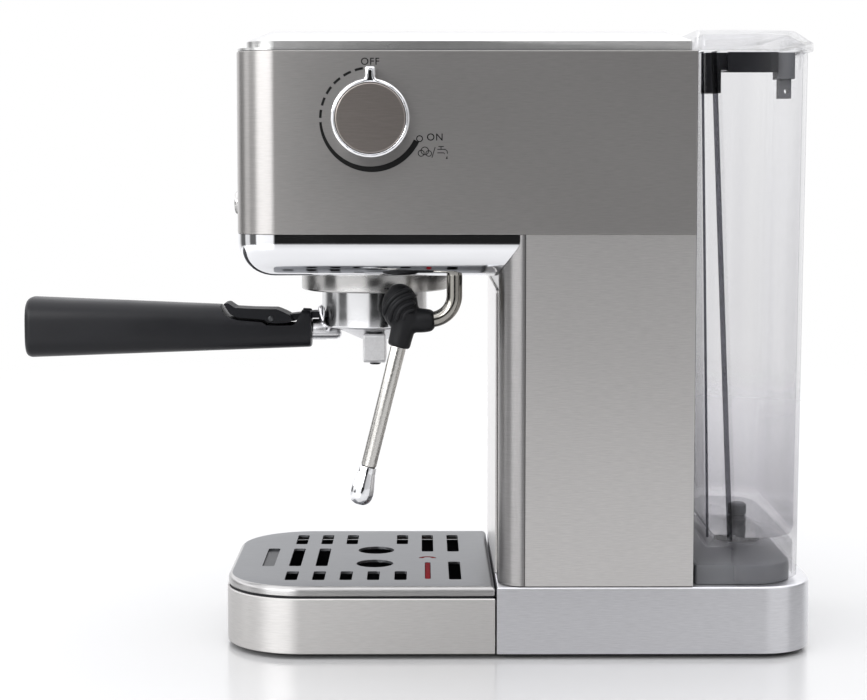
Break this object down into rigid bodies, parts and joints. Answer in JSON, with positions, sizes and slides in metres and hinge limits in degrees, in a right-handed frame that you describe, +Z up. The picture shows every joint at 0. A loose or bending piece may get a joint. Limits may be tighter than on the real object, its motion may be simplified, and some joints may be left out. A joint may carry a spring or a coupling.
{
  "type": "espresso machine",
  "caption": "Pump espresso machine with a portafilter, side steam knob, swivelling steam wand, slotted drip tray and a clear lift-out water tank behind.",
  "frame": {"origin": "centre of the bounding box's underside, on the plane the feet stand on", "axes": "+Z up; -X is the front, where the portafilter handle points; -Y is the side with the steam knob and the steam wand"},
  "size_m": [0.4118, 0.166, 0.3153],
  "materials": {
    "brushed_steel": "brushed stainless sheet, fine grain along the panels",
    "polished_chrome": "mirror polished",
    "cast_alloy": "polished die casting, slightly soft reflections",
    "black_plastic": "moulded satin black",
    "grey_plastic": "moulded satin grey",
    "clear_plastic": "clear moulded, glossy",
    "black_rubber": "matt moulded rubber",
    "silicone": "translucent silicone hose",
    "red_plastic": "moulded, semi-gloss",
    "brass": "machined",
    "pump_metal": "lacquered",
    "circuit_board": "solder-resist green"
  },
  "bodies": {
    "housing": {"base_plate": "black_plastic", "foot_1": "black_rubber", "foot_2": "black_rubber", "foot_3": "black_rubber", "foot_4": "black_rubber", "base_shell": "brushed_steel", "tank_platform": "grey_plastic", "water_port": "black_plastic", "port_seal": "black_rubber", "cord_gland": "black_rubber", "chassis": "black_plastic", "column_side_near": "brushed_steel", "column_side_far": "brushed_steel", "column_front": "brushed_steel", "splash_panel": "brushed_steel", "rear_panel": "black_plastic", "head_wrap": "brushed_steel", "head_hood": "polished_chrome", "top_cover": "brushed_steel", "control_board": "circuit_board", "group_collar": "cast_alloy", "group_seal": "black_rubber", "shower_screen": "brushed_steel", "shower_screw": "brushed_steel", "boiler": "cast_alloy", "pump": "pump_metal", "pump_mount_low": "black_rubber", "pump_mount_high": "black_rubber", "suction_hose": "silicone", "pressure_hose": "silicone", "steam_valve": "brass", "steam_hose": "silicone", "wand_socket": "brass"},
    "steam_knob": {"knob_body": "polished_chrome", "knob_cap": "brushed_steel", "valve_stem": "brass"},
    "steam_wand": {"wand_upper_tube": "polished_chrome", "wand_grip": "black_rubber", "wand_lower_tube": "brushed_steel", "wand_nozzle": "polished_chrome"},
    "portafilter": {"portafilter_body": "cast_alloy", "filter_basket": "brushed_steel", "spout": "cast_alloy", "spout_nut": "black_plastic", "handle": "black_plastic", "clip_pin": "polished_chrome"},
    "clip": {"basket_clip": "black_plastic"},
    "tray": {"tray_band": "brushed_steel", "drip_tray": "black_plastic"},
    "grid": {"drip_grid": "brushed_steel"},
    "float": {"tray_float": "red_plastic"},
    "tank": {"tank_shell": "clear_plastic", "tank_valve": "grey_plastic", "tank_handle": "black_plastic", "lid_catch": "grey_plastic", "lid_hinge_pin": "brushed_steel"},
    "lid": {"tank_lid": "clear_plastic"},
    "button_left": {"button_3": "polished_chrome"},
    "button_middle": {"button_2": "polished_chrome"},
    "button_right": {"button_1": "polished_chrome"}
  },
  "joints": [
    {"name": "knob_turn", "type": "hinge", "parent": "housing", "child": "steam_knob", "pos_m": [-0.0203, -0.067, 0.2715], "axis": [0, -1, 0], "range_deg": [0, 246]},
    {"name": "wand_swivel", "type": "hinge", "parent": "housing", "child": "steam_wand", "pos_m": [0.0214, -0.043, 0.2], "axis": [0, 0, 1], "range_deg": [0, 90]},
    {"name": "portafilter_turn", "type": "hinge", "parent": "housing", "child": "portafilter", "pos_m": [-0.0203, 0.008, 0.175], "axis": [0, 0, 1], "range_deg": [-45, 0]},
    {"name": "clip_rock", "type": "hinge", "parent": "portafilter", "child": "clip", "pos_m": [-0.0755, 0.008, 0.1666], "axis": [0, 1, 0], "range_deg": [-3, 0], "stiffness_Nm_per_rad": 0.02, "springref_deg": 11.46},
    {"name": "tray_slide", "type": "slide", "parent": "housing", "child": "tray", "axis": [-1, 0, 0], "range_m": [0, 0.14]},
    {"name": "grid_lift", "type": "slide", "parent": "tray", "child": "grid", "axis": [0, 0, 1], "range_m": [0, 0.03]},
    {"name": "float_rise", "type": "slide", "parent": "tray", "child": "float", "axis": [0, 0, 1], "range_m": [0, 0.006]},
    {"name": "tank_lift", "type": "slide", "parent": "housing", "child": "tank", "axis": [0, 0, 1], "range_m": [0, 0.08]},
    {"name": "lid_open", "type": "hinge", "parent": "tank", "child": "lid", "pos_m": [0.2011, 0.008, 0.3066], "axis": [0, 1, 0], "range_deg": [0, 95]},
    {"name": "button_left_press", "type": "slide", "parent": "housing", "child": "button_left", "axis": [1, 0, 0], "range_m": [0, 0.0015], "stiffness_N_per_m": 400, "springref_m": -0.002},
    {"name": "button_middle_press", "type": "slide", "parent": "housing", "child": "button_middle", "axis": [1, 0, 0], "range_m": [0, 0.0015], "stiffness_N_per_m": 400, "springref_m": -0.002},
    {"name": "button_right_press", "type": "slide", "parent": "housing", "child": "button_right", "axis": [1, 0, 0], "range_m": [0, 0.0015], "stiffness_N_per_m": 400, "springref_m": -0.002}
  ]
}
